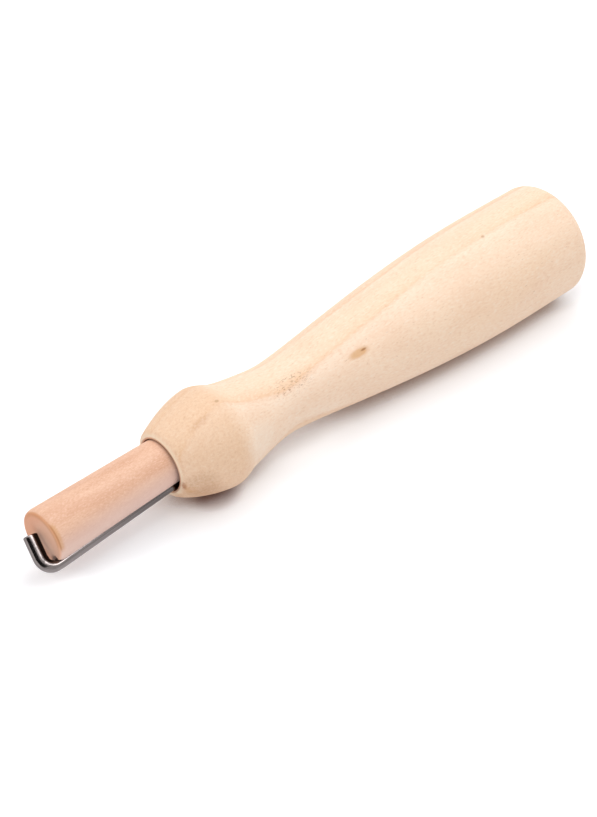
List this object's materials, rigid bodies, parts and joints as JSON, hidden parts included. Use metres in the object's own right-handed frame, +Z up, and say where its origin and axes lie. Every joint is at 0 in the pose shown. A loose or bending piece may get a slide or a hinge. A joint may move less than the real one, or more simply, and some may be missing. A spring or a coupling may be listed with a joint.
{
  "type": "felting needle holder",
  "caption": "Turned wooden felting tool: bulb-fronted handle, tapered wooden peg wedged in its bore, and a barbed needle lying in the peg's groove.",
  "frame": {"origin": "on the table, under the middle of the tool's bounding box", "axes": "+X runs along the tool from the needle's crank to the butt, +Z is up, and the tool lies on its bulb and its butt"},
  "size_m": [0.1126, 0.0198, 0.0199],
  "materials": {
    "handle_wood": "sanded bare",
    "peg_wood": "sanded bare",
    "needle_steel": "bright nickel-grey wire"
  },
  "bodies": {
    "handle": {"handle": "handle_wood"},
    "peg": {"peg": "peg_wood"},
    "needle": {"needle": "needle_steel"}
  },
  "joints": [
    {"name": "peg_slide", "type": "slide", "parent": "handle", "child": "peg", "axis": [-0.9997, 0, -0.0235], "range_m": [0, 0.052]},
    {"name": "needle_slide", "type": "slide", "parent": "peg", "child": "needle", "axis": [-0.9968, -0.0467, -0.0655], "range_m": [0, 0.052]}
  ]
}
